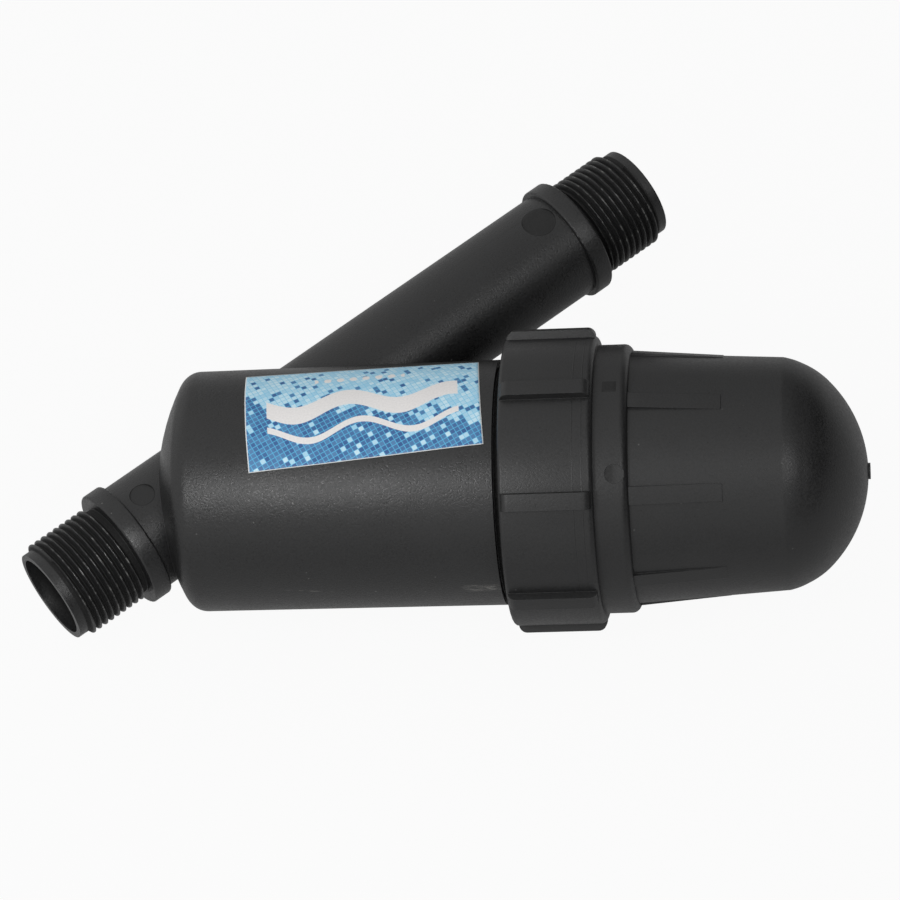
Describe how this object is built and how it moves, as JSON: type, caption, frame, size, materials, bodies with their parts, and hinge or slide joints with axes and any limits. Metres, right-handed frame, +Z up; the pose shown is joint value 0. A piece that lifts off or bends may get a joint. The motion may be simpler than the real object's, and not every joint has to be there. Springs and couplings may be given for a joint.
{
  "type": "irrigation disc filter",
  "caption": "Black plastic irrigation disc filter with two male threaded pipe ends, a slanted barrel, a ribbed screw cover with a domed bowl, and grooved filter rings on a core inside.",
  "frame": {"origin": "on the pipe's axis, where the outlet thread starts beside its collar", "axes": "+X along the pipe towards the inlet mouth, +Z up, square to the plane of pipe and barrel; the barrel branches off towards +X and -Y"},
  "size_m": [0.1836, 0.1393, 0.074],
  "materials": {
    "housing_plastic": "fine matte grain, moulded black",
    "label_film": "printed film",
    "core_plastic": "moulded dark grey",
    "disc_plastic": "moulded red, grooved",
    "seal_rubber": "black rubber"
  },
  "bodies": {
    "housing": {"filter_body": "housing_plastic", "label": "label_film"},
    "element": {"element_core": "core_plastic", "seat_seal": "seal_rubber"},
    "ring_stack": {"disc_group_01": "disc_plastic", "disc_group_02": "disc_plastic", "disc_group_03": "disc_plastic", "disc_group_04": "disc_plastic", "disc_group_05": "disc_plastic", "disc_group_06": "disc_plastic", "disc_group_07": "disc_plastic", "disc_group_08": "disc_plastic", "disc_group_09": "disc_plastic", "disc_group_10": "disc_plastic", "disc_group_11": "disc_plastic", "disc_group_12": "disc_plastic", "disc_group_13": "disc_plastic", "disc_group_14": "disc_plastic", "disc_group_15": "disc_plastic", "disc_group_16": "disc_plastic", "disc_group_17": "disc_plastic", "disc_group_18": "disc_plastic", "disc_group_19": "disc_plastic", "disc_group_20": "disc_plastic", "disc_group_21": "disc_plastic", "disc_group_22": "disc_plastic", "disc_group_23": "disc_plastic", "disc_group_24": "disc_plastic", "disc_group_25": "disc_plastic", "disc_group_26": "disc_plastic"},
    "cap": {"element_cap": "core_plastic"},
    "seal_ring": {"cover_seal": "seal_rubber"},
    "cover": {"screw_cover": "housing_plastic"}
  },
  "joints": [
    {"name": "element_pull", "type": "slide", "parent": "housing", "child": "element", "axis": [0.766, -0.6428, 0], "range_m": [0, 0.12]},
    {"name": "ring_loosen", "type": "slide", "parent": "element", "child": "ring_stack", "axis": [0.766, -0.6428, 0], "range_m": [0, 0.0041]},
    {"name": "cap_turn", "type": "hinge", "parent": "ring_stack", "child": "cap", "pos_m": [0.027, 0, 0], "axis": [0.766, -0.6428, 0], "range_deg": [0, 720]},
    {"name": "cover_lift", "type": "slide", "parent": "element", "child": "seal_ring", "axis": [0.766, -0.6428, 0], "range_m": [0, 0.0136]},
    {"name": "cover_turn", "type": "hinge", "parent": "seal_ring", "child": "cover", "pos_m": [0.027, 0, 0], "axis": [0.766, -0.6428, 0], "range_deg": [0, 1080]}
  ],
  "couplings": [
    {"joint": "cover_lift", "follows": "cover_turn", "m_per_rad": 0.0007162},
    {"joint": "ring_loosen", "follows": "cap_turn", "m_per_rad": 0.00031831}
  ]
}
